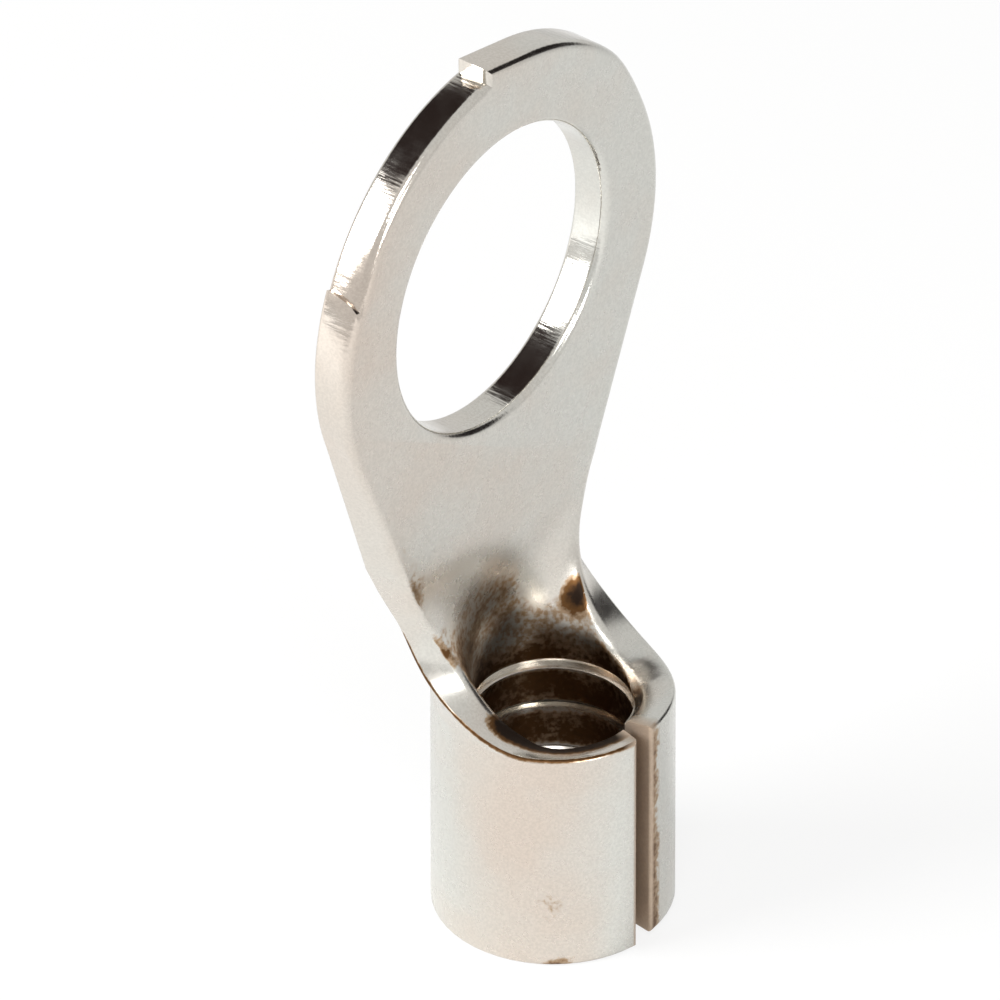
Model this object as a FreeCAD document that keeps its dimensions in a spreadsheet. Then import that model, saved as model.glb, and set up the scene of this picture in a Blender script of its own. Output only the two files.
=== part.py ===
import FreeCAD, Part
import math
import os
import Sketcher

# A bare ring terminal: one piece of plated sheet, stamped flat and rolled into a barrel at one end.
# Millimetres and degrees. +Z runs up the barrel's axis to the ring, and the barrel stands on z = 0.
# The seam of the barrel faces -Y, and the flat tongue stands behind the axis, towards +Y.
sizes = {
    "sheet_thickness": 1.05,
    "edge_round": 0.14,
    "barrel_diameter": 6.17,
    "barrel_length": 6.35,
    "barrel_round": 0.14,
    "seam_gap_outside": 0.52,
    "seam_gap_inside": 0.15,
    "seam_shift_outside": -0.196,
    "seam_shift_inside": 0.125,
    "groove_count": 4,
    "groove_pitch": 1.27,
    "groove_width": 0.42,
    "groove_depth": 0.18,
    "groove_from_top": 0.70,
    "neck_width": 6.20,
    "neck_fillet": 2.20,
    "roll_height": 4.60,
    "curl_pace": 1.27,
    "drop_pace": 0.78,
    "edge_fade": 0.75,
    "tongue_setback": 1.58,
    "ring_diameter": 12.65,
    "ring_rise": 9.72,
    "stud_hole": 8.30,
    "tip_lead": 78.0,
    "tip_step": -0.56,
    "tip_root": 0.50,
    "trim_depth": 0.14,
    "trim_end": 157.0,
    "cutter_overrun": 0.30,
}
filletSteps = 8
flankSteps = 4

doc = FreeCAD.newDocument("ring_terminal")
sheet = doc.addObject("Spreadsheet::Sheet", "Sizes")
for row, (name, value) in enumerate(sizes.items(), start=1):
    sheet.set("A%d" % row, name)
    sheet.set("B%d" % row, str(value))
    sheet.setAlias("B%d" % row, name)
flankSheet = doc.addObject("Spreadsheet::Sheet", "FlankFoot")
neckSheet = doc.addObject("Spreadsheet::Sheet", "NeckSections")
doc.recompute()

body = doc.addObject("PartDesign::Body", "Terminal")
body.Label = "terminal"
origin = {item.Role: item for item in body.Origin.OriginFeatures}

thickness = sizes["sheet_thickness"]
outerRadius = sizes["barrel_diameter"] / 2
innerRadius = outerRadius - thickness
middleRadius = outerRadius - thickness / 2
tongueFront = sizes["tongue_setback"]
tongueBack = tongueFront + thickness
ringRadius = sizes["ring_diameter"] / 2
filletAcross = sizes["neck_width"] / 2 + sizes["neck_fillet"]
filletHeight = sizes["barrel_length"] + sizes["neck_fillet"]
ringCentre = FreeCAD.Vector(0, filletHeight + sizes["ring_rise"], 0)
rollTop = sizes["barrel_length"] + sizes["roll_height"]
ringUp = "Sizes.barrel_length + Sizes.neck_fillet + Sizes.ring_rise"


def vector(x, y):
    return FreeCAD.Vector(x, y, 0)


def polar(radius, degrees):
    turn = math.radians(degrees)
    return vector(radius * math.cos(turn), radius * math.sin(turn))


def line(first, second):
    return Part.LineSegment(first, second)


def arc(centre, radius, start, end):
    circle = Part.Circle(centre, FreeCAD.Vector(0, 0, 1), radius)
    return Part.ArcOfCircle(circle, math.radians(start), math.radians(end))


def near(first, second):
    return abs(first - second) < 1e-4


def ease(share):
    return share * share * (3 - 2 * share)


def putOnSheet(target, row, values):
    for column, (name, value) in zip("ABCD", values.items()):
        cell = "%s%d" % (column, row)
        target.set(cell, repr(value))
        target.setAlias(cell, name)
    doc.recompute()


def levelSketch(name, height):
    sketch = body.newObject("Sketcher::SketchObject", name)
    sketch.AttachmentSupport = (origin["XY_Plane"], [""])
    sketch.MapMode = "FlatFace"
    sketch.AttachmentOffset = FreeCAD.Placement(vector(0, 0) + FreeCAD.Vector(0, 0, height),
                                                FreeCAD.Rotation())
    return sketch


def uprightSketch(name, depth):
    # Drawn as seen from the front; depth is the sheet's expression for how far back it stands.
    sketch = body.newObject("Sketcher::SketchObject", name)
    sketch.AttachmentSupport = (origin["XZ_Plane"], [""])
    sketch.MapMode = "FlatFace"
    sketch.setExpression("AttachmentOffset.Base.z", "-(%s)" % depth)
    return sketch


def rule(sketch, *parts):
    sketch.addConstraint(Sketcher.Constraint(*parts))


def bind(sketch, name, expression, *parts):
    # A dimension of the sketch that takes its value from the sheets.
    index = sketch.addConstraint(Sketcher.Constraint(*parts))
    sketch.renameConstraint(index, name)
    sketch.setExpression("Constraints." + name, expression)


def join(sketch, kind, pairs):
    for first, second in pairs:
        rule(sketch, kind, *first, *second)


def taper():
    # The blank's straight side touches the ring's circle and the neck's fillet, which lies outside
    # it: the side's lean from upright, and the point where it leaves the fillet.
    rise = sizes["ring_rise"]
    reach = math.acos((ringRadius + sizes["neck_fillet"]) / math.hypot(filletAcross, rise))
    lean = math.degrees(math.atan2(rise, filletAcross) - reach)
    foot = vector(filletAcross, filletHeight) - polar(sizes["neck_fillet"], -lean)
    return lean, foot


def addTongue():
    # The flat part: the ring and its straight tapered sides, down to where the rolling starts.
    lean, foot = taper()
    shoulder = ringCentre + polar(ringRadius, -lean)
    half = foot.x + (rollTop - foot.y) * math.tan(math.radians(lean))
    corner = vector(half, rollTop)
    sketch = uprightSketch("TongueOutline", "Sizes.tongue_setback + Sizes.sheet_thickness")
    sketch.addGeometry(arc(ringCentre, ringRadius, -lean, 180 + lean))
    sketch.addGeometry(line(shoulder, corner))
    sketch.addGeometry(line(vector(-shoulder.x, shoulder.y), vector(-half, rollTop)))
    sketch.addGeometry(line(vector(-half, rollTop), corner))
    join(sketch, "Tangent", [((0, 1), (1, 1)), ((0, 2), (2, 1))])
    join(sketch, "Coincident", [((1, 2), (3, 2)), ((2, 2), (3, 1))])
    rule(sketch, "PointOnObject", 0, 3, -2)
    rule(sketch, "Horizontal", 3)
    putOnSheet(flankSheet, 1, {"half_width": half})
    bind(sketch, "ring", "Sizes.ring_diameter / 2", "Radius", 0, ringRadius)
    bind(sketch, "ringUp", ringUp, "DistanceY", -1, 1, 0, 3, ringCentre.y)
    bind(sketch, "base", "Sizes.barrel_length + Sizes.roll_height",
         "DistanceY", -1, 1, 3, 1, rollTop)
    bind(sketch, "right", "FlankFoot.half_width", "DistanceX", -1, 1, 1, 2, half)
    bind(sketch, "left", "-FlankFoot.half_width", "DistanceX", -1, 1, 2, 2, -half)
    addPad("Tongue", sketch, "Sizes.sheet_thickness")


def addTipTab():
    # What is left of the strip that carried the blank: a shallow ramp that ends in a small step.
    lead = sizes["tip_lead"]
    start = ringCentre + polar(ringRadius, lead)
    along = polar(1, lead + 90)
    corner = start + along * ((sizes["tip_step"] - start.x) / along.x)
    root = vector(corner.x, start.y - sizes["tip_root"])
    sketch = uprightSketch("TipTabOutline", "Sizes.tongue_setback + Sizes.sheet_thickness")
    for first, second in ((start, corner), (corner, root), (root, start)):
        sketch.addGeometry(line(first, second))
    join(sketch, "Coincident", [((0, 2), (1, 1)), ((1, 2), (2, 1)), ((2, 2), (0, 1))])
    rule(sketch, "Vertical", 1)
    turn = "Sizes.tip_lead * 1 deg"
    bind(sketch, "startAcross", "Sizes.ring_diameter / 2 * cos(%s)" % turn,
         "DistanceX", -1, 1, 0, 1, start.x)
    bind(sketch, "startUp", ringUp + " + Sizes.ring_diameter / 2 * sin(%s)" % turn,
         "DistanceY", -1, 1, 0, 1, start.y)
    bind(sketch, "ramp", "(Sizes.tip_lead + 90) * 1 deg", "Angle", 0, math.radians(lead + 90))
    bind(sketch, "step", "Sizes.tip_step", "DistanceX", -1, 1, 0, 2, sizes["tip_step"])
    bind(sketch, "root", "Sizes.tip_root", "DistanceY", 1, 2, 0, 1, sizes["tip_root"])
    addPad("TipTab", sketch, "Sizes.sheet_thickness")


def addTrim():
    # Beside the tab the rim was trimmed a little deeper, which leaves a step at either end.
    inner = ringRadius - sizes["trim_depth"]
    outer = ringRadius + thickness
    start = math.degrees(math.acos(sizes["tip_step"] / inner))
    far = math.degrees(math.acos(sizes["tip_step"] / outer))
    end = sizes["trim_end"]
    sketch = uprightSketch("TrimOutline", "Sizes.tongue_setback")
    sketch.addGeometry(arc(ringCentre, inner, start, end))
    sketch.addGeometry(arc(ringCentre, outer, far, end))
    sketch.addGeometry(line(ringCentre + polar(inner, start), ringCentre + polar(outer, far)))
    sketch.addGeometry(line(ringCentre + polar(inner, end), ringCentre + polar(outer, end)))
    join(sketch, "Coincident", [((0, 3), (1, 3)), ((0, 1), (2, 1)), ((1, 1), (2, 2)),
                                ((0, 2), (3, 1)), ((1, 2), (3, 2))])
    rule(sketch, "PointOnObject", 0, 3, -2)
    rule(sketch, "Vertical", 2)
    bind(sketch, "up", ringUp, "DistanceY", -1, 1, 0, 3, ringCentre.y)
    bind(sketch, "inside", "Sizes.ring_diameter / 2 - Sizes.trim_depth", "Radius", 0, inner)
    bind(sketch, "outside", "Sizes.ring_diameter / 2 + Sizes.sheet_thickness", "Radius", 1, outer)
    bind(sketch, "step", "Sizes.tip_step", "DistanceX", -1, 1, 0, 1, sizes["tip_step"])
    bind(sketch, "end", "Sizes.trim_end * 1 deg", "Angle", 3, math.radians(end))
    cutThrough("Trim", sketch)


def addStudHole():
    sketch = uprightSketch("StudHoleOutline", "Sizes.tongue_setback")
    sketch.addGeometry(Part.Circle(ringCentre, FreeCAD.Vector(0, 0, 1), sizes["stud_hole"] / 2))
    rule(sketch, "PointOnObject", 0, 3, -2)
    bind(sketch, "up", ringUp, "DistanceY", -1, 1, 0, 3, ringCentre.y)
    bind(sketch, "hole", "Sizes.stud_hole", "Diameter", 0, sizes["stud_hole"])
    cutThrough("StudHole", sketch)


def addNeck():
    # The sheet unrolls from the barrel's full curl to the flat tongue, while its cut edges follow
    # the blank's fillet and straight side. Every cross-section is square to the sheet, so the cut
    # faces are too. Their rounding fades towards the barrel, where the punch left them sharper.
    lean, foot = taper()
    stations = []
    for index in range(filletSteps + 1):
        turn = math.radians((90 + lean) * index / filletSteps)
        stations.append((filletHeight - sizes["neck_fillet"] * math.cos(turn),
                         filletAcross - sizes["neck_fillet"] * math.sin(turn)))
    for index in range(1, flankSteps):
        height = foot.y + (rollTop - foot.y) * index / flankSteps
        stations.append((height, foot.x + (height - foot.y) * math.tan(math.radians(lean))))
    middle = (tongueFront + tongueBack) / 2
    sections = []
    for index, (height, half) in enumerate(stations):
        share = (rollTop - height) / sizes["roll_height"]
        radius = middleRadius / ease(share ** sizes["curl_pace"])
        axis = middle + (middleRadius - middle) * ease(share ** sizes["drop_pace"]) - radius
        section = {
            "radius": radius,
            "centre": axis,
            "spread": math.degrees(half / radius),
            "corner": sizes["edge_round"] * (1 - sizes["edge_fade"] * share),
        }
        sketch = levelSketch("NeckSection%d" % index, height)
        drawCurledSection(sketch, index, section)
        sections.append(sketch)
    names = ["Face%d" % number for number, face in enumerate(body.Shape.Faces, start=1)
             if near(face.BoundBox.ZMin, rollTop) and near(face.BoundBox.ZMax, rollTop)]
    base = body.Tip
    loft = body.newObject("PartDesign::AdditiveLoft", "Neck")
    loft.Profile = (base, names)
    loft.Sections = sections[::-1]


def drawCurledSection(sketch, step, section):
    # A thick arc about a centre on the Y axis: two faces, two cut edges and four corners between.
    putOnSheet(neckSheet, step + 1, {"%s_at_%d" % pair: section[pair[0]]
                                     for pair in ((name, step) for name in section)})
    middle = vector(0, section["centre"])
    corner = section["corner"]
    outer = section["radius"] + thickness / 2
    inner = section["radius"] - thickness / 2
    right = 90 - section["spread"]
    left = 90 + section["spread"]
    outerTurn = math.degrees(math.asin(corner / (outer - corner)))
    innerTurn = math.degrees(math.asin(corner / (inner + corner)))
    outerReach = math.sqrt((outer - corner) ** 2 - corner ** 2)
    innerReach = math.sqrt((inner + corner) ** 2 - corner ** 2)

    def cornerArc(reach, turn, start, end):
        return arc(middle + polar(reach, turn), corner, start, end)

    def cutEdge(turn):
        return line(middle + polar(innerReach, turn), middle + polar(outerReach, turn))

    outerLeft = left - outerTurn
    innerLeft = left - innerTurn
    outerRight = right + outerTurn
    innerRight = right + innerTurn
    sketch.addGeometry(arc(middle, outer, outerRight, outerLeft))
    sketch.addGeometry(cornerArc(outer - corner, outerLeft, outerLeft, left + 90))
    sketch.addGeometry(cutEdge(left))
    sketch.addGeometry(cornerArc(inner + corner, innerLeft, left + 90, innerLeft + 180))
    sketch.addGeometry(arc(middle, inner, innerRight, innerLeft))
    sketch.addGeometry(cornerArc(inner + corner, innerRight, innerRight + 180, right + 270))
    sketch.addGeometry(cutEdge(right))
    sketch.addGeometry(cornerArc(outer - corner, outerRight, right - 90, outerRight))
    join(sketch, "Tangent", [((0, 2), (1, 1)), ((1, 2), (2, 2)), ((2, 1), (3, 1)), ((3, 2), (4, 2)),
                             ((4, 1), (5, 1)), ((5, 2), (6, 1)), ((6, 2), (7, 1)), ((7, 2), (0, 1))])
    rule(sketch, "Coincident", 0, 3, 4, 3)
    for edge in (-2, 2, 6):
        rule(sketch, "PointOnObject", 0, 3, edge)
    cells = {name: "NeckSections.%s_at_%d" % (name, step) for name in section}
    bind(sketch, "centre", cells["centre"], "DistanceY", -1, 1, 0, 3, section["centre"])
    bind(sketch, "outside", cells["radius"] + " + Sizes.sheet_thickness / 2", "Radius", 0, outer)
    bind(sketch, "inside", cells["radius"] + " - Sizes.sheet_thickness / 2", "Radius", 4, inner)
    bind(sketch, "left", "(90 + %s) * 1 deg" % cells["spread"], "Angle", 2, math.radians(left))
    bind(sketch, "right", "(90 - %s) * 1 deg" % cells["spread"], "Angle", 6, math.radians(right))
    for edge in (1, 3, 5, 7):
        bind(sketch, "corner%d" % edge, cells["corner"], "Radius", edge, corner)


def addBarrel():
    # A C in cross-section. Its two lips almost meet inside and gape outside, a little off centre.
    places = {}
    for face, radius in (("outside", outerRadius), ("inside", innerRadius)):
        for side, sign in (("right", 1), ("left", -1)):
            across = sizes["seam_shift_" + face] + sign * sizes["seam_gap_" + face] / 2
            turn = math.degrees(math.asin(across / radius)) - 90
            places[side, face] = (across, turn + (360 if side == "left" else 0))
    sketch = levelSketch("BarrelSection", 0)
    for face, radius in (("outside", outerRadius), ("inside", innerRadius)):
        sketch.addGeometry(arc(vector(0, 0), radius, places["right", face][1], places["left", face][1]))
    for side in ("right", "left"):
        sketch.addGeometry(line(polar(outerRadius, places[side, "outside"][1]),
                                polar(innerRadius, places[side, "inside"][1])))
    join(sketch, "Coincident", [((0, 3), (-1, 1)), ((1, 3), (-1, 1)), ((0, 1), (2, 1)),
                                ((1, 1), (2, 2)), ((0, 2), (3, 1)), ((1, 2), (3, 2))])
    bind(sketch, "outer", "Sizes.barrel_diameter / 2", "Radius", 0, outerRadius)
    bind(sketch, "inner", "Sizes.barrel_diameter / 2 - Sizes.sheet_thickness",
         "Radius", 1, innerRadius)
    for edge, face in ((0, "outside"), (1, "inside")):
        for point, side, sign in ((1, "right", "+"), (2, "left", "-")):
            bind(sketch, side + face, "Sizes.seam_shift_%s %s Sizes.seam_gap_%s / 2" % (face, sign, face),
                 "DistanceX", -1, 1, edge, point, places[side, face][0])
    addPad("Barrel", sketch, "Sizes.barrel_length")


def addGrooves():
    # Rings pressed into the barrel's inside, which bite into the strands of the wire.
    top = sizes["barrel_length"] - sizes["groove_from_top"]
    half = sizes["groove_width"] / 2
    floor = innerRadius + sizes["groove_depth"]
    air = innerRadius - sizes["cutter_overrun"]
    points = [vector(air, top - half), vector(innerRadius, top - half), vector(floor, top),
              vector(innerRadius, top + half), vector(air, top + half)]
    count = len(points)
    sketch = uprightSketch("GrooveProfile", "0 mm")
    for index, point in enumerate(points):
        sketch.addGeometry(line(point, points[(index + 1) % count]))
    join(sketch, "Coincident", [((index, 2), ((index + 1) % count, 1)) for index in range(count)])
    for edge, way in ((0, "Horizontal"), (3, "Horizontal"), (4, "Vertical")):
        rule(sketch, way, edge)
    wall = "Sizes.barrel_diameter / 2 - Sizes.sheet_thickness"
    middle = "Sizes.barrel_length - Sizes.groove_from_top"
    bind(sketch, "wallLow", wall, "DistanceX", -1, 1, 0, 2, innerRadius)
    bind(sketch, "wallHigh", wall, "DistanceX", -1, 1, 3, 1, innerRadius)
    bind(sketch, "floor", wall + " + Sizes.groove_depth", "DistanceX", -1, 1, 1, 2, floor)
    bind(sketch, "middle", middle, "DistanceY", -1, 1, 1, 2, top)
    bind(sketch, "low", middle + " - Sizes.groove_width / 2",
         "DistanceY", -1, 1, 0, 2, top - half)
    bind(sketch, "high", middle + " + Sizes.groove_width / 2",
         "DistanceY", -1, 1, 3, 1, top + half)
    bind(sketch, "air", "Sizes.cutter_overrun", "DistanceX", 0, 1, 0, 2, sizes["cutter_overrun"])
    groove = body.newObject("PartDesign::Groove", "WireGroove")
    groove.Profile = sketch
    groove.ReferenceAxis = (sketch, ["V_Axis"])
    groove.Angle = 360
    doc.recompute()
    pattern = body.newObject("PartDesign::LinearPattern", "WireGrooves")
    pattern.Originals = [groove]
    pattern.Direction = (origin["Z_Axis"], [""])
    pattern.Reversed = True
    pattern.setExpression("Occurrences", "Sizes.groove_count")
    pattern.setExpression("Length", "Sizes.groove_pitch * (Sizes.groove_count - 1)")
    body.Tip = pattern


def addMouthRounding():
    # Rounds the outer edge of the mouth from one flare of the neck, round the seam, to the other.
    size = sizes["barrel_round"]
    over = sizes["cutter_overrun"]
    top = sizes["barrel_length"]
    centre = vector(size - outerRadius, top - size)
    foot = vector(-outerRadius, centre.y)
    peak = vector(centre.x, top)
    points = [foot, vector(foot.x - over, foot.y), vector(foot.x - over, top + over),
              vector(peak.x, top + over), peak]
    sketch = body.newObject("Sketcher::SketchObject", "MouthProfile")
    sketch.AttachmentSupport = (origin["YZ_Plane"], [""])
    sketch.MapMode = "FlatFace"
    sketch.addGeometry(arc(centre, size, 90, 180))
    for first, second in zip(points, points[1:]):
        sketch.addGeometry(line(first, second))
    join(sketch, "Coincident", [((edge, 2), ((edge + 1) % 5, 1)) for edge in range(5)])
    for edge, way in ((1, "Horizontal"), (2, "Vertical"), (3, "Horizontal"), (4, "Vertical")):
        rule(sketch, way, edge)
    rule(sketch, "Horizontal", 0, 3, 0, 2)
    rule(sketch, "Vertical", 0, 3, 0, 1)
    bind(sketch, "round", "Sizes.barrel_round", "Radius", 0, size)
    bind(sketch, "across", "Sizes.barrel_round - Sizes.barrel_diameter / 2",
         "DistanceX", -1, 1, 0, 3, centre.x)
    bind(sketch, "up", "Sizes.barrel_length - Sizes.barrel_round",
         "DistanceY", -1, 1, 0, 3, centre.y)
    bind(sketch, "overOut", "Sizes.cutter_overrun", "DistanceX", 1, 2, 1, 1, over)
    bind(sketch, "overUp", "Sizes.cutter_overrun", "DistanceY", 4, 2, 4, 1, over)
    groove = body.newObject("PartDesign::Groove", "MouthRounding")
    groove.Profile = sketch
    groove.ReferenceAxis = (sketch, ["V_Axis"])
    groove.Midplane = True
    groove.setExpression("Angle", "360 - 2 * NeckSections.spread_at_0")


def addPad(name, sketch, length):
    pad = body.newObject("PartDesign::Pad", name)
    pad.Profile = sketch
    pad.setExpression("Length", length)


def cutThrough(name, sketch):
    pocket = body.newObject("PartDesign::Pocket", name)
    pocket.Profile = sketch
    pocket.Type = "ThroughAll"


def roundEdges(name, size, wanted):
    # Rounds each edge of the body that the test picks by its curve and its box.
    names = ["Edge%d" % number for number, edge in enumerate(body.Shape.Edges, start=1)
             if wanted(edge, edge.BoundBox)]
    base = body.Tip
    fillet = body.newObject("PartDesign::Fillet", name)
    fillet.Base = (base, names)
    fillet.setExpression("Radius", "Sizes." + size)


def onOutline(depth):
    def test(edge, box):
        onFace = near(box.YMin, depth) and near(box.YMax, depth)
        return onFace and not isHoleEdge(box) and not near(box.ZMax, rollTop)
    return test


def onHole(depth):
    def test(edge, box):
        return near(box.YMin, depth) and near(box.YMax, depth) and isHoleEdge(box)
    return test


def isHoleEdge(box):
    return near(box.XMax - box.XMin, sizes["stud_hole"])


def onLip(edge, box):
    fullHeight = near(box.ZMin, 0) and near(box.ZMax, sizes["barrel_length"])
    return fullHeight and near(math.hypot(box.XMin, box.YMin), outerRadius)


def onFoot(edge, box):
    isCircle = edge.Curve.TypeId == "Part::GeomCircle"
    return isCircle and near(box.ZMax, 0) and near(edge.Curve.Radius, outerRadius)


def step(name, feature, growth, *parts):
    # Makes one feature and stops if the body fails, or doesn't grow or shrink as it should.
    before = body.Shape.Volume if body.Tip else 0
    feature(*parts)
    doc.recompute()
    broken = [item.Name for item in doc.Objects if "Invalid" in item.State or "Error" in item.State]
    shape = body.Shape
    if broken or shape.isNull() or not shape.isValid() or len(shape.Solids) != 1:
        raise SystemExit("%s failed: %s" % (name, broken))
    if (shape.Volume - before) * growth <= 0:
        raise SystemExit("%s changed nothing" % name)
    print("%s: %.2f cubic mm" % (name, shape.Volume))


step("tongue", addTongue, 1)
step("tip tab", addTipTab, 1)
step("trimmed rim", addTrim, -1)
step("stud hole", addStudHole, -1)
step("front edges", roundEdges, -1, "FrontRounding", "edge_round", onOutline(tongueFront))
step("back edges", roundEdges, -1, "BackRounding", "edge_round", onOutline(tongueBack))
step("hole's front edge", roundEdges, -1, "HoleFrontRounding", "edge_round", onHole(tongueFront))
step("hole's back edge", roundEdges, -1, "HoleBackRounding", "edge_round", onHole(tongueBack))
step("neck", addNeck, 1)
step("barrel", addBarrel, 1)
step("wire grooves", addGrooves, -1)
step("seam lips", roundEdges, -1, "LipRounding", "barrel_round", onLip)
step("barrel foot", roundEdges, -1, "FootRounding", "barrel_round", onFoot)
step("barrel mouth", addMouthRounding, -1)

os.makedirs("parts", exist_ok=True)
body.Shape.exportStep("parts/terminal.step")
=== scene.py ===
import bmesh
import bpy
import math
from mathutils import Matrix, Vector


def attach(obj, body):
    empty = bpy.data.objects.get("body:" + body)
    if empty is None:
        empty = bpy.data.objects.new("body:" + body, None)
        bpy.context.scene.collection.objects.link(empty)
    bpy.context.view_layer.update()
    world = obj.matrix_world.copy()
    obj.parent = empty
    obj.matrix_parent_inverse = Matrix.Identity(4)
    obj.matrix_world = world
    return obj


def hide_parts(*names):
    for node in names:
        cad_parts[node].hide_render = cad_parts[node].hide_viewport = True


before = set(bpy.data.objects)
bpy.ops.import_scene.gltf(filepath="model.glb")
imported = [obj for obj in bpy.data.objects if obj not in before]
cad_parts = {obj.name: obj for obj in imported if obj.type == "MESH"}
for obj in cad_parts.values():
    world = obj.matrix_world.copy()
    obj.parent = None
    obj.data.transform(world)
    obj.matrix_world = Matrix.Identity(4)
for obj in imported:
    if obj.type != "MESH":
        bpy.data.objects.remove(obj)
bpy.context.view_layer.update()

millimetre = 0.001

# The photo's view: a long lens from the upper left. "aim" is the point at the picture's middle, in mm.
cameraView = {
    "azimuth": -51.785,
    "elevation": 35.4975,
    "distance": 840.88,
    "lens": 1200,
    "sensor": 36,
    "aim": (3.708, 4.615, 8.088),
}

# The flat blank before rolling, and how it is rolled, in mm and degrees.
blank = {
    "thickness": 1.05,
    "frontRound": 0.24,
    "backRound": 0.12,
    "roundSteps": 5,
    "barrelRadius": 3.085,
    "barrelLength": 6.35,
    "rightLip": 7.890,
    "leftLip": 7.884,
    "rightLipSlant": 0.19,
    "leftLipSlant": -0.422,
    "rightLipLift": 0.13,
    "liftFrom": 5.5,
    "liftFade": 2.0,
    "slantFrom": 6.4,
    "slantFade": 1.2,
    "neckHalf": 3.10,
    "neckFillet": 2.20,
    "rollHeight": 4.60,
    "curlPace": 1.27,
    "dropPace": 0.78,
    "setback": 1.58,
    "ringRadius": 6.325,
    "ringCentre": 18.27,
    "holeRadius": 4.15,
    "tabLead": 78.0,
    "tabStep": -0.56,
    "trimDepth": 0.14,
    "trimEnd": 157.0,
    "arcStep": 2.5,
}

# The rings pressed into the barrel's inside, in mm.
grooves = {"count": 4, "top": 5.65, "pitch": 1.27, "width": 0.42, "depth": 0.18}

# Marks that the press left, in mm: a swollen left edge above the neck, and a mouth that slopes inwards.
dents = {
    "leftSwell": 0.32,
    "leftMiddle": 12.2,
    "leftReach": 3.6,
    "leftBand": 0.6,
    "mouthSlope": 0.36,
    "mouthFrom": 4.6,
    "mouthFade": 1.4,
    "mouthDepth": 0.5,
    "mouthRise": 0.4,
}

# Where the blank is cut so that it can bend, in mm: the spacing of the cuts, and how far they go.
slices = {"across": 0.30, "neck": 0.16, "barrel": 0.4, "halfWidth": 7.5, "spare": 0.4}


def ease(share):
    share = min(max(share, 0), 1)
    return share * share * (3 - 2 * share)


def polar(radius, degrees, centre=(0, 0)):
    turn = math.radians(degrees)
    return centre[0] + radius * math.cos(turn), centre[1] + radius * math.sin(turn)


def flank():
    # The blank's straight side: its lean, where it leaves the ring and where it meets the neck's fillet.
    across = blank["neckHalf"] + blank["neckFillet"]
    up = blank["barrelLength"] + blank["neckFillet"]
    rise = blank["ringCentre"] - up
    reach = math.acos((blank["ringRadius"] + blank["neckFillet"]) / math.hypot(across, rise))
    lean = math.degrees(math.atan2(rise, across) - reach)
    return lean, (across, up)


def sweep(mesh, centre, radius, start, end):
    # A row of edges along an arc, spun from one vertex. The blank lies in XZ, and +Y is behind.
    x, z = polar(radius, start, centre)
    first = mesh.verts.new((x, 0, z))
    steps = max(1, round(abs(end - start) / blank["arcStep"]))
    spun = bmesh.ops.spin(mesh, geom=[first], cent=(centre[0], 0, centre[1]), axis=(0, -1, 0),
                          dvec=(0, 0, 0), angle=math.radians(end - start), steps=steps,
                          use_merge=False, use_duplicate=False)
    return first, spun["geom_last"][0]


def rule(mesh, first, second):
    mesh.edges.new((first, second))


def corner(mesh, x, z):
    return mesh.verts.new((x, 0, z))


def drawBlank(mesh):
    ring = (0, blank["ringCentre"])
    radius = blank["ringRadius"]
    lean, (across, up) = flank()
    rightFoot = corner(mesh, blank["rightLip"], 0)
    rightTop = corner(mesh, blank["rightLip"], blank["barrelLength"])
    leftFoot = corner(mesh, -blank["leftLip"], 0)
    leftTop = corner(mesh, -blank["leftLip"], blank["barrelLength"])
    rule(mesh, leftFoot, rightFoot)
    rule(mesh, rightFoot, rightTop)
    rightLow, rightHigh = sweep(mesh, (across, up), blank["neckFillet"], 270, 180 - lean)
    rule(mesh, rightTop, rightLow)
    lead = blank["tabLead"]
    shoulder, tabFoot = sweep(mesh, ring, radius, -lean, lead)
    rule(mesh, rightHigh, shoulder)
    startX, startZ = polar(radius, lead, ring)
    slope = math.tan(math.radians(lead + 90))
    tip = corner(mesh, blank["tabStep"], startZ + (blank["tabStep"] - startX) * slope)
    rule(mesh, tabFoot, tip)
    trimmed = radius - blank["trimDepth"]
    trimStart = math.degrees(math.acos(blank["tabStep"] / trimmed))
    stepFoot, farFoot = sweep(mesh, ring, trimmed, trimStart, blank["trimEnd"])
    rule(mesh, tip, stepFoot)
    farTop, leftShoulder = sweep(mesh, ring, radius, blank["trimEnd"], 180 + lean)
    rule(mesh, farFoot, farTop)
    leftHigh, leftLow = sweep(mesh, (-across, up), blank["neckFillet"], lean, -90)
    rule(mesh, leftShoulder, leftHigh)
    rule(mesh, leftLow, leftTop)
    rule(mesh, leftTop, leftFoot)
    sweep(mesh, ring, blank["holeRadius"], 0, 360)
    bmesh.ops.remove_doubles(mesh, verts=mesh.verts[:], dist=1e-5)


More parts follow.
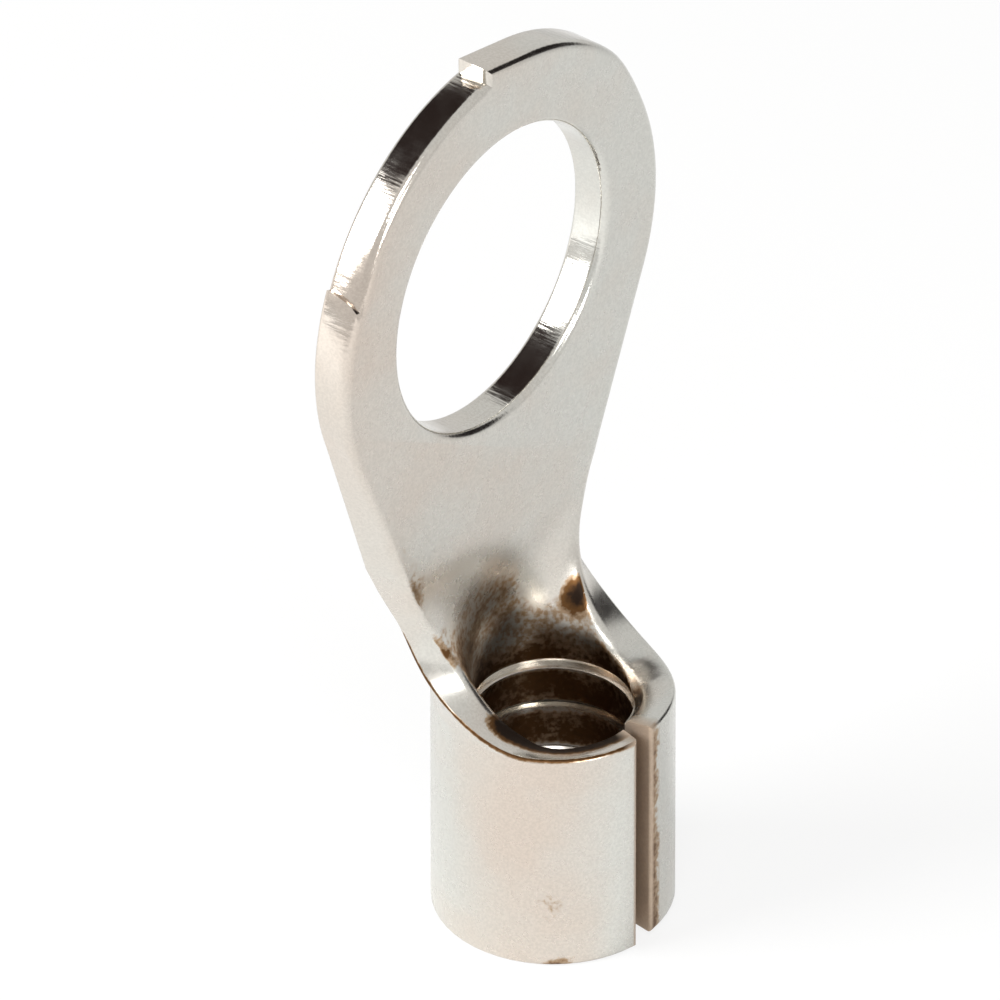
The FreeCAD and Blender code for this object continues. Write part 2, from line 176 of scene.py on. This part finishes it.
def thickenBlank(mesh):
    # Fills the outline, gives it thickness and rounds every cut edge in small steps.
    wall = blank["thickness"] - blank["frontRound"] - blank["backRound"]
    outline = mesh.edges[:]
    bmesh.ops.triangle_fill(mesh, use_beauty=True, use_dissolve=False, edges=outline, normal=(0, -1, 0))
    bmesh.ops.dissolve_limit(mesh, angle_limit=0.01, verts=mesh.verts[:], edges=mesh.edges[:])
    grown = bmesh.ops.extrude_face_region(mesh, geom=mesh.faces[:])["geom"]
    raised = [item for item in grown if isinstance(item, bmesh.types.BMVert)]
    bmesh.ops.translate(mesh, verts=raised, vec=(0, wall, 0))
    bmesh.ops.translate(mesh, verts=mesh.verts[:], vec=(0, blank["frontRound"] - blank["thickness"] / 2, 0))
    bmesh.ops.recalc_face_normals(mesh, faces=mesh.faces[:])
    for side, size in ((-1, blank["frontRound"]), (1, blank["backRound"])):
        cap = [face for face in mesh.faces if face.normal.y * side > 0.9]
        for index in range(blank["roundSteps"]):
            low = math.pi / 2 * index / blank["roundSteps"]
            high = math.pi / 2 * (index + 1) / blank["roundSteps"]
            bmesh.ops.inset_region(mesh, faces=cap, use_boundary=True, use_even_offset=True,
                                   thickness=size * (math.cos(low) - math.cos(high)),
                                   depth=size * (math.sin(high) - math.sin(low)))


def steps(start, end, pitch):
    count = max(1, round((end - start) / pitch))
    return [start + (end - start) * index / count for index in range(count + 1)]


def sliceBlank(mesh):
    bendTop = blank["barrelLength"] + blank["rollHeight"] + slices["spare"]
    levels = steps(blank["barrelLength"], bendTop, slices["neck"])
    levels += steps(slices["barrel"], blank["barrelLength"], slices["barrel"])[:-1]
    for index in range(grooves["count"]):
        middle = grooves["top"] - index * grooves["pitch"]
        levels += [middle - grooves["width"] / 2, middle, middle + grooves["width"] / 2]
    columns = steps(-slices["halfWidth"], slices["halfWidth"], slices["across"])
    for level in levels:
        bmesh.ops.bisect_plane(mesh, geom=mesh.verts[:] + mesh.edges[:] + mesh.faces[:], dist=1e-4,
                               plane_co=(0, 0, level), plane_no=(0, 0, 1))
    for column in columns:
        low = [face for face in mesh.faces if face.calc_center_median().z < bendTop]
        edges = {edge for face in low for edge in face.edges}
        verts = {vert for face in low for vert in face.verts}
        bmesh.ops.bisect_plane(mesh, geom=list(verts) + list(edges) + low, dist=1e-4,
                               plane_co=(column, 0, 0), plane_no=(1, 0, 0))


def pressGrooves(mesh):
    front = -blank["thickness"] / 2
    for index in range(grooves["count"]):
        middle = grooves["top"] - index * grooves["pitch"]
        for vert in mesh.verts:
            if abs(vert.co.z - middle) < 1e-3 and abs(vert.co.y - front) < 1e-4:
                vert.co.y += grooves["depth"]


def bulge(value, middle, reach):
    return ease(1 - abs(value - middle) / reach)


# The browned plating, with painted shade and painted highlights in it: clean at 0, brown at 1, black at 2.
# Heights and places are on the blank, in mm.
browningAndShade = {
    "startAt": 10.0,
    "startFall": 0.5,
    "fade": 1.9,
    "scoop": 0.42,
    # Darker in the bore: painted shade over the browning.
    "bore": 1.0,
    "boreEdge": 6.65,
    # Cleared along the grooves: a painted highlight.
    "grooveFlankHighlight": 1.5,
    "grooveHighlightReach": 0.28,
    "grooveWallHighlight": -1.0,
    "grooveTop": 0.4,
    "grooveSide": -0.2,
    "outerSide": 0.8,
    # The mouth's cut: near black on the inner half as a painted dark reflection, cleared on the outer half as
    # a painted highlight.
    "mouthDarkReflection": 3.8,
    "mouthHighlight": -1.8,
    # A dark line along the outer edge of the flare's cut: painted shade.
    "edgeShade": 1.5,
    "edgeShadeSide": 0.90,
    "edgeShadeReach": 0.11,
    "seamEdge": 0.7,
    "seamFrom": 7.72,
}

# Two zones on the left of the mouth, one for a painted dark reflection and painted highlight, one for a
# painted shade line: from this far across, and these heights from the barrel's top.
mouthReflectionZone = {"across": 3.7, "acrossFade": 0.8, "low": -0.7, "high": 1.4}
edgeShadeZone = {"across": 2.4, "acrossFade": 0.3, "low": -0.4, "high": 2.8}
zoneFade = {"low": 0.2, "high": 0.6}

# A point's "side" runs from -1 at the inner face to 1 at the outer one. Past this share it is on a face.
faceShare = 0.97
innerFace = (-1.1, -faceShare)
outerFace = (faceShare, 1.1)

# Single marks: stains, a painted highlight and painted shade in the scoop, and painted shade on the tab's
# step.
stainsAndShades = [
    # A clean patch in the scoop: a painted highlight.
    {"name": "scoopPaintedHighlight", "side": innerFace, "at": (1.9, 8.1), "reach": (1.3, 1.1), "amount": -0.5},
    # A dark spot in the scoop: painted shade.
    {"name": "scoopPaintedShade", "side": innerFace, "at": (2.95, 7.65), "reach": (0.6, 0.6), "amount": 2.1},
    {"name": "leftCrease", "side": innerFace, "at": (-3.6, 10.5), "reach": (0.5, 1.3), "amount": 0.7},
    {"name": "flareSpot", "side": (-0.97, -0.6), "at": (-3.15, 8.5), "reach": (0.6, 0.8), "amount": 0.9},
    # A dark patch on the tab's step: painted shade.
    {"name": "tabPaintedShade", "side": (-0.97, 0.85), "at": (-0.9, 24.6), "reach": (0.45, 0.5), "amount": 0.4},
    {"name": "barrelSmudge", "side": outerFace, "at": (-5.64, 1.95), "reach": (0.5, 0.8), "amount": 0.45},
    {"name": "footLine", "side": (0.7, 1.1), "at": (-5.7, 0.0), "reach": (0.6, 0.3), "amount": 1.0},
]


def inZone(zone, x, z):
    rise = z - blank["barrelLength"]
    near = ease((-x - zone["across"]) / zone["acrossFade"])
    above = ease((rise - zone["low"]) / zoneFade["low"])
    return near * above * ease((zone["high"] - rise) / zoneFade["high"])


def stainsAndShadesAt(x, side, z):
    amount = 0
    for mark in stainsAndShades:
        low, high = mark["side"]
        if low < side < high:
            near = bulge(x, mark["at"][0], mark["reach"][0]) * bulge(z, mark["at"][1], mark["reach"][1])
            amount += mark["amount"] * near
    return amount


def innerTarnishAndShade(x, z):
    # Brown from the scoop down, darker in the bore as painted shade, and clear along each groove as a painted
    # highlight.
    look = browningAndShade
    deep = look["scoop"] + (look["bore"] - look["scoop"]) * ease(look["boreEdge"] - z)
    start = look["startAt"] - look["startFall"] * max(x, 0)
    amount = deep * ease((start - z) / look["fade"])
    for index in range(grooves["count"]):
        middle = grooves["top"] - index * grooves["pitch"]
        amount -= look["grooveFlankHighlight"] * bulge(z, middle, look["grooveHighlightReach"])
    return amount


def tarnishAndShadeAt(x, side, z):
    look = browningAndShade
    top = blank["barrelLength"]
    amount = stainsAndShadesAt(x, side, z)
    if side < -faceShare:
        return max(amount + innerTarnishAndShade(x, z), 0)
    # Inside the barrel the groove walls and the inner rounding are kept clean: a painted highlight.
    if side < look["grooveSide"] and z < top - look["grooveTop"]:
        return look["grooveWallHighlight"]
    if x > look["seamFrom"] and side > look["outerSide"] and z < top:
        return look["seamEdge"]
    # Left of the mouth: a painted dark reflection on the inner half of the cut, a painted highlight on the
    # outer half.
    mouth = inZone(mouthReflectionZone, x, z)
    if mouth > 0 and side < look["outerSide"]:
        return mouth * (look["mouthDarkReflection"] if side < 0 else look["mouthHighlight"])
    # A painted shade line along the outer edge of the flare's cut face.
    edgeShade = look["edgeShade"] * inZone(edgeShadeZone, x, z) * bulge(side, look["edgeShadeSide"], look["edgeShadeReach"])
    return max(amount, edgeShade)


# Where copper shows through the plating: pink at 1, cool at 0. Places are on the blank, in mm.
warmth = {
    "barrel": 0.9,
    "barrelMiddle": -5.2,
    "barrelReach": 2.9,
    "bore": 0.5,
    "tongue": 0.35,
    "left": 0.5,
    "leftFrom": 3.2,
    "leftFade": 2.5,
    "leftLow": 9,
    "leftRise": 3,
    "right": -0.35,
    "rightFrom": 1,
    "rightFade": 4,
}


def warmthAt(x, side, z):
    look = warmth
    if z < blank["barrelLength"]:
        outer = look["barrel"] * bulge(x, look["barrelMiddle"], look["barrelReach"])
        return outer if side > 0 else look["bore"]
    left = ease((-x - look["leftFrom"]) / look["leftFade"]) * ease((z - look["leftLow"]) / look["leftRise"])
    right = ease((x - look["rightFrom"]) / look["rightFade"])
    return look["tongue"] + look["left"] * left + look["right"] * right


# Bare metal on the seam's cut ends, and a shine on the sheared edges of the tongue, in mm.
bareZone = {"from": 7.75, "fade": 0.1}
shearZone = {"sideFade": 0.1, "low": 11, "rise": 3}


def paintBlank(mesh):
    # Writes the finish as four values on each point, which the plating's material reads; the browning among
    # them also holds painted shade and painted highlights.
    half = blank["thickness"] / 2
    layers = {name: mesh.verts.layers.float.new(name) for name in ("tarnishAndShade", "warmth", "bare", "sheared")}
    for vert in mesh.verts:
        x, off, z = vert.co
        side = off / half
        cut = ease((faceShare - abs(side)) / shearZone["sideFade"])
        vert[layers["tarnishAndShade"]] = tarnishAndShadeAt(x, side, z)
        vert[layers["warmth"]] = warmthAt(x, side, z)
        vert[layers["bare"]] = ease((abs(x) - bareZone["from"]) / bareZone["fade"])
        vert[layers["sheared"]] = cut * ease((z - shearZone["low"]) / shearZone["rise"])


def wearBlank(mesh):
    half = blank["thickness"] / 2
    lean, (across, up) = flank()
    slope = math.radians(lean)
    for vert in mesh.verts:
        x, off, z = vert.co
        if x < 0 and z > up:
            drop = math.sin(slope) * (blank["ringCentre"] - z)
            edge = (blank["ringRadius"] - drop) / math.cos(slope)
            near = ease(1 - (edge - abs(x)) / dents["leftBand"]) * ease(0.5 + off / blank["thickness"])
            vert.co.x -= dents["leftSwell"] * bulge(z, dents["leftMiddle"], dents["leftReach"]) * near
        if off < 0:
            front = ease((abs(x) - dents["mouthFrom"]) / dents["mouthFade"])
            front *= ease((z - blank["barrelLength"] + dents["mouthDepth"]) / dents["mouthRise"])
            vert.co.z -= dents["mouthSlope"] * front * ease(-off / half)


def rollUp(mesh):
    # Bends the blank about an upright axis: fully in the barrel, not at all in the tongue.
    middleRadius = blank["barrelRadius"] - blank["thickness"] / 2
    flatMiddle = blank["setback"] + blank["thickness"] / 2
    rollTop = blank["barrelLength"] + blank["rollHeight"]
    for vert in mesh.verts:
        x, off, z = vert.co
        slant = blank["rightLipSlant"] if x > 0 else -blank["leftLipSlant"]
        x += off * slant * ease((abs(x) - blank["slantFrom"]) / blank["slantFade"])
        share = min(max((rollTop - z) / blank["rollHeight"], 0), 1)
        curl = ease(share ** blank["curlPace"]) / middleRadius
        middle = flatMiddle + (middleRadius - flatMiddle) * ease(share ** blank["dropPace"])
        if x > 0:
            z += blank["rightLipLift"] * ease((x - blank["liftFrom"]) / blank["liftFade"])
        if curl > 1e-6:
            turn = x * curl
            sag = (1 - math.cos(turn)) / curl
            vert.co = ((1 / curl + off) * math.sin(turn), middle + off * math.cos(turn) - sag, z)
        else:
            vert.co = (x, middle + off, z)


creaseAngle = 33


def finishMesh(mesh, name):
    # Shades the faces smoothly, with creases where the surface turns sharply.
    bmesh.ops.recalc_face_normals(mesh, faces=mesh.faces[:])
    for face in mesh.faces:
        face.smooth = True
    for edge in mesh.edges:
        edge.smooth = len(edge.link_faces) == 2 and edge.calc_face_angle(0) < math.radians(creaseAngle)
    data = bpy.data.meshes.new(name)
    mesh.to_mesh(data)
    mesh.free()
    data.transform(Matrix.Scale(millimetre, 4))
    piece = bpy.data.objects.new(name, data)
    bpy.context.scene.collection.objects.link(piece)
    weighted = piece.modifiers.new("weighted", "WEIGHTED_NORMAL")
    weighted.keep_sharp = True
    weighted.mode = "FACE_AREA"
    return piece


def makeTerminal():
    mesh = bmesh.new()
    drawBlank(mesh)
    thickenBlank(mesh)
    sliceBlank(mesh)
    pressGrooves(mesh)
    wearBlank(mesh)
    paintBlank(mesh)
    rollUp(mesh)
    piece = finishMesh(mesh, "ringTerminal")
    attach(piece, "root")
    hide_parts("terminal")
    return piece


print("stage: rolled sheet")
terminal = makeTerminal()
print(len(terminal.data.vertices), len(terminal.data.polygons))


def addCamera(view):
    turn, rise = math.radians(view["azimuth"]), math.radians(view["elevation"])
    back = Vector((math.sin(turn) * math.cos(rise), -math.cos(turn) * math.cos(rise), math.sin(rise)))
    data = bpy.data.cameras.new("camera")
    data.lens = view["lens"]
    data.sensor_width = view["sensor"]
    data.clip_start = 0.01
    data.clip_end = 10
    camera = bpy.data.objects.new("camera", data)
    bpy.context.scene.collection.objects.link(camera)
    camera.location = (Vector(view["aim"]) + back * view["distance"]) * millimetre
    camera.rotation_euler = (math.pi / 2 - rise, 0, turn)
    bpy.context.scene.camera = camera


print("stage: camera")
addCamera(cameraView)


def nodeTree(owner):
    owner.use_nodes = True
    tree = owner.node_tree
    tree.nodes.clear()

    def add(kind, inputs=None, **settings):
        node = tree.nodes.new("ShaderNode" + kind)
        for name, value in settings.items():
            setattr(node, name, value)
        for name, value in (inputs or {}).items():
            if isinstance(value, bpy.types.NodeSocket):
                tree.links.new(value, node.inputs[name])
            else:
                node.inputs[name].default_value = value
        return node

    return add


# The plating: tints in linear colour, and the size of each pattern in mm.
plating = {
    "pink": (0.645, 0.565, 0.495, 1),
    "green": (0.645, 0.64, 0.60, 1),
    "dull": (0.54, 0.50, 0.45, 1),
    "tarnishAndShade": (0.12, 0.058, 0.022, 1),
    "thinTarnishAndShade": (0.40, 0.285, 0.185, 1),
    "sootAndShade": (0.022, 0.014, 0.010, 1),
    "bare": (0.52, 0.425, 0.34, 1),
    "roughness": (0.23, 0.29),
    "tarnishRough": 0.12,
    "bareRough": 0.40,
    "shearedRough": -0.11,
    "blotch": 3.2,
    "mottle": 0.45,
    "grain": 0.07,
    "cloud": 0.9,
    "speckle": 0.14,
    "streak": 0.13,
    "streakDepth": 14.0,
    "streakStretch": 0.08,
    "bump": 0.035,
    "bumpDepth": 0.00005,
}


def makePlating(look):
    material = bpy.data.materials.new("platedMetal")
    add = nodeTree(material)
    own = add("TexCoord").outputs["Object"]
    place = add("Mapping", {"Vector": own, "Scale": (1000, 1000, 1000)}).outputs[0]

    def noise(size, detail=3, rough=0.55, where=place):
        inputs = {"Vector": where, "Scale": 1 / size, "Detail": detail, "Roughness": rough}
        return add("TexNoise", inputs).outputs["Fac"]

    def remap(value, low, high, toLow=0.0, toHigh=1.0):
        inputs = {"Value": value, "From Min": low, "From Max": high, "To Min": toLow, "To Max": toHigh}
        return add("MapRange", inputs, interpolation_type="SMOOTHSTEP").outputs[0]

    def blend(factor, first, second, mode="MIX"):
        return add("Mix", {0: factor, 6: first, 7: second}, data_type="RGBA", blend_type=mode).outputs[2]

    def plus(first, second):
        return add("Math", {0: first, 1: second}, operation="ADD").outputs[0]

    def times(first, second):
        return add("Math", {0: first, 1: second}, operation="MULTIPLY").outputs[0]

    def painted(name):
        return add("Attribute", attribute_name=name).outputs["Fac"]

    mottle, grain = noise(look["mottle"], 4, 0.6), noise(look["grain"], 2)
    tarnishAndShade, bare, sheared = painted("tarnishAndShade"), painted("bare"), painted("sheared")

    warm = plus(painted("warmth"), remap(noise(look["blotch"]), 0.35, 0.65, -0.2, 0.2))
    colour = blend(warm, look["green"], look["pink"])
    colour = blend(remap(mottle, 0.52, 0.78, 0, 0.10), colour, look["dull"])
    ragged = plus(remap(noise(look["cloud"], 5, 0.65), 0.3, 0.7, -0.26, 0.26),
                  remap(noise(look["speckle"], 3, 0.6), 0.35, 0.65, -0.16, 0.16))
    cloud = plus(tarnishAndShade, times(ragged, remap(tarnishAndShade, 0, 0.3)))
    # The brown and black layers show tarnish, and also painted shade and painted dark reflections.
    colour = blend(remap(cloud, 0.12, 0.55), colour, look["thinTarnishAndShade"])
    colour = blend(remap(cloud, 0.45, 0.95), colour, look["tarnishAndShade"])
    colour = blend(remap(cloud, 0.95, 2.0), colour, look["sootAndShade"])
    colour = blend(bare, colour, look["bare"])
    colour = blend(1.0, colour, remap(grain, 0.35, 0.65, 0.95, 1.03), "MULTIPLY")

    rough = plus(remap(mottle, 0.3, 0.7, *look["roughness"]), times(tarnishAndShade, look["tarnishRough"]))
    rough = plus(rough, times(bare, look["bareRough"]))
    rough = plus(rough, times(sheared, look["shearedRough"]))

    # The streaks run across the sheared edges, so their pattern is drawn out through the sheet.
    drawn = add("Mapping", {"Vector": place, "Scale": (1, look["streakStretch"], 1)}).outputs[0]
    streak = noise(look["streak"], 3, 0.5, drawn)
    height = plus(times(mottle, 0.5), times(grain, 0.25))
    height = plus(height, times(times(streak, sheared), look["streakDepth"]))
    bump = add("Bump", {"Height": height, "Strength": look["bump"], "Distance": look["bumpDepth"]}).outputs[0]
    inputs = {"Base Color": colour, "Metallic": 1.0, "Roughness": rough, "Normal": bump}
    shader = add("BsdfPrincipled", inputs)
    add("OutputMaterial", {"Surface": shader.outputs[0]})
    return material


print("stage: plating")
metal = makePlating(plating)
terminal.data.materials.append(metal)
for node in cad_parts.values():
    for slot in node.material_slots:
        slot.material = metal

# The studio: a white floor and a white room. The room's colour and its dark panels only show as reflections.
studio = {
    "floorSize": 0.30,
    "floorColour": (0.86, 0.86, 0.85, 1),
    "cameraWhite": 0.80,
    "glossyWhite": 0.35,
    "ambient": 0.47,
    "reflected": (0.80, 0.80, 0.79, 1),
}

# Each panel darkens the directions near its own. "edge" and "core" are cosines of the angle to it.
panels = [
    {"towards": (0.03, 0.504, 0.863), "edge": 0.862, "core": 0.892, "colour": (0.030, 0.020, 0.018, 1)},
    {"towards": (0.87, -0.40, 0.27), "edge": 0.90, "core": 0.95, "colour": (0.02, 0.016, 0.016, 1)},
]

# Soft square lamps: places and sizes in mm, energy in watts.
lamps = [
    {"name": "backLeft", "place": (-140, 104, 112), "aim": (0, 0, 12), "size": 112, "energy": 0.43},
    {"name": "frontLeft", "place": (-52, -130, 66), "aim": (0, 0, 12), "size": 45, "energy": 0.075},
    {"name": "lowLeft", "place": (-60, 42, 45), "aim": (-32, 22, 0), "size": 30, "energy": 0.014},
    {"name": "topLeft", "place": (-62, -48, 112), "aim": (0, 0, 12), "size": 40, "energy": 0.035},
]


def makeFloor(look):
    mesh = bmesh.new()
    bmesh.ops.create_grid(mesh, x_segments=1, y_segments=1, size=look["floorSize"])
    data = bpy.data.meshes.new("floor")
    mesh.to_mesh(data)
    mesh.free()
    floor = bpy.data.objects.new("floor", data)
    bpy.context.scene.collection.objects.link(floor)
    paper = bpy.data.materials.new("paper")
    add = nodeTree(paper)
    path = add("LightPath").outputs

    def whitened(ray, amount, sofar=0.0):
        inputs = {0: path[ray], 1: amount, 2: sofar}
        return add("Math", inputs, operation="MULTIPLY_ADD", use_clamp=True).outputs[0]

    share = whitened("Is Camera Ray", look["cameraWhite"])
    share = whitened("Is Glossy Ray", look["glossyWhite"], share)
    share = whitened("Is Transmission Ray", look["glossyWhite"], share)
    matt = add("BsdfDiffuse", {"Color": look["floorColour"]}).outputs[0]
    white = add("Emission", {"Color": (1, 1, 1, 1), "Strength": 1.0}).outputs[0]
    mix = add("MixShader", {0: share, 1: matt, 2: white}).outputs[0]
    add("OutputMaterial", {"Surface": mix})
    data.materials.append(paper)


def makeWorld(look):
    world = bpy.data.worlds.new("studio")
    bpy.context.scene.world = world
    add = nodeTree(world)
    path = add("LightPath").outputs
    towards = add("TexCoord").outputs["Generated"]
    room = look["reflected"]
    for panel in panels:
        middle = Vector(panel["towards"]).normalized()
        aim = add("VectorMath", {0: towards, 1: middle}, operation="DOT_PRODUCT").outputs["Value"]
        inputs = {"Value": aim, "From Min": panel["edge"], "From Max": panel["core"]}
        share = add("MapRange", inputs, interpolation_type="SMOOTHSTEP").outputs[0]
        room = add("Mix", {0: share, 6: room, 7: panel["colour"]}, data_type="RGBA").outputs[2]
    plain = add("Background", {"Color": (1, 1, 1, 1), "Strength": look["ambient"]}).outputs[0]
    mirrored = add("Background", {"Color": room, "Strength": 1.0}).outputs[0]
    seen = add("Background", {"Color": (1, 1, 1, 1), "Strength": 1.0}).outputs[0]
    rays = {0: path["Is Glossy Ray"], 1: path["Is Transmission Ray"]}
    shiny = add("Math", rays, operation="MAXIMUM").outputs[0]
    mix = add("MixShader", {0: shiny, 1: plain, 2: mirrored}).outputs[0]
    mix = add("MixShader", {0: path["Is Camera Ray"], 1: mix, 2: seen}).outputs[0]
    add("OutputWorld", {"Surface": mix})


def addLamp(lamp):
    data = bpy.data.lights.new(lamp["name"], "AREA")
    data.energy = lamp["energy"]
    data.size = lamp["size"] * millimetre
    light = bpy.data.objects.new(lamp["name"], data)
    light.location = Vector(lamp["place"]) * millimetre
    towards = Vector(lamp["aim"]) * millimetre - light.location
    light.rotation_euler = towards.to_track_quat("-Z", "Y").to_euler()
    bpy.context.scene.collection.objects.link(light)


print("stage: studio")
makeFloor(studio)
makeWorld(studio)
for lamp in lamps:
    addLamp(lamp)
bpy.context.scene.view_settings.view_transform = "Standard"
